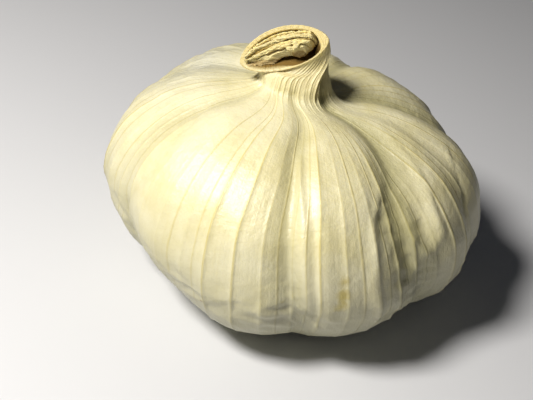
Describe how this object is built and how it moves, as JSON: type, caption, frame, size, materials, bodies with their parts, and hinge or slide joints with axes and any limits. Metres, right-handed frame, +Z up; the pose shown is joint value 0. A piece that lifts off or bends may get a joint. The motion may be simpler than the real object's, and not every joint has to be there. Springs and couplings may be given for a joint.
{
  "type": "garlic bulb",
  "caption": "Whole dried garlic bulb: papery ribbed skin drawn over plump cloves, a short twisted neck bent over and cut, and a corky root plate to rest on.",
  "frame": {"origin": "on the table, at the middle of the root plate's flat scar, under the bulb's own axis", "axes": "+Z up along the bulb's axis, the short way of the whole; +X to the right and -Y towards the side that the cut mouth of the neck faces"},
  "size_m": [0.0662, 0.0642, 0.0469],
  "materials": {
    "papery_skin": "cream-white papery skin, satin",
    "dried_leaf": "straw-coloured dried inner leaves, matt",
    "corky_root": "corky brown root plate, matt"
  },
  "bodies": {
    "root": {"bulb": "papery_skin", "neck_leaves": "dried_leaf", "root_plate": "corky_root"}
  },
  "joints": []
}
